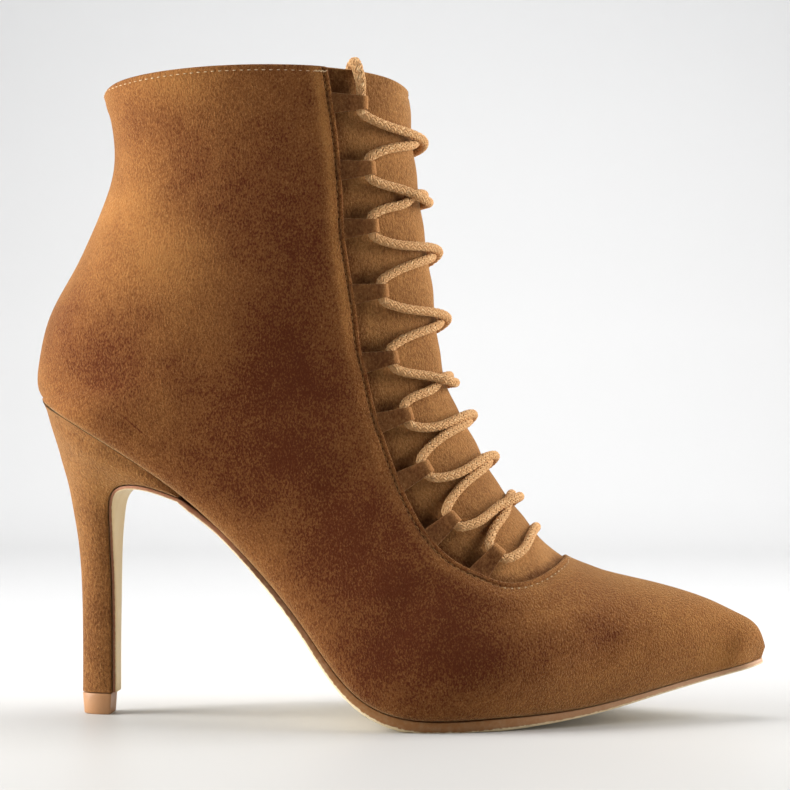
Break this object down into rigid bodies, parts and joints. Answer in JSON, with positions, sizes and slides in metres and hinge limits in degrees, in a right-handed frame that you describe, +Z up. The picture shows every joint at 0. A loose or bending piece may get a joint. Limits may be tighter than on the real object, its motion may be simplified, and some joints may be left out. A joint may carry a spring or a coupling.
{
  "type": "lace-up ankle boot",
  "caption": "Right ankle boot with a pointed toe, a tall slim heel, a tongue, and a round cord laced through folded loops along its open throat.",
  "frame": {"origin": "middle of the boot's outline on the floor, lace ends left out", "axes": "+X to the toe, +Y to the inner side of the foot, +Z up"},
  "size_m": [0.2296, 0.0797, 0.2048],
  "materials": {
    "upper_suede": "napped suede, camel brown",
    "heel_suede": "napped suede over a moulded block",
    "loop_suede": "napped suede strip, folded",
    "insole_board": "smooth lining",
    "outsole_sheet": "matt cream sheet with tan painted edges",
    "tip_plastic": "moulded tan",
    "lace_cord": "round braid"
  },
  "bodies": {
    "root": {"upper": "upper_suede", "tongue": "upper_suede", "insole": "insole_board", "outsole": "outsole_sheet", "heel": "heel_suede", "heel_tip": "tip_plastic", "lace_loop_lateral_1": "loop_suede", "lace_loop_lateral_2": "loop_suede", "lace_loop_lateral_3": "loop_suede", "lace_loop_lateral_4": "loop_suede", "lace_loop_lateral_5": "loop_suede", "lace_loop_lateral_6": "loop_suede", "lace_loop_lateral_7": "loop_suede", "lace_loop_lateral_8": "loop_suede", "lace_loop_lateral_9": "loop_suede", "lace_loop_medial_1": "loop_suede", "lace_loop_medial_2": "loop_suede", "lace_loop_medial_3": "loop_suede", "lace_loop_medial_4": "loop_suede", "lace_loop_medial_5": "loop_suede", "lace_loop_medial_6": "loop_suede", "lace_loop_medial_7": "loop_suede", "lace_loop_medial_8": "loop_suede", "lace_loop_medial_9": "loop_suede", "lace": "lace_cord", "lace_end_lateral": "lace_cord", "lace_end_medial": "lace_cord"}
  },
  "joints": []
}
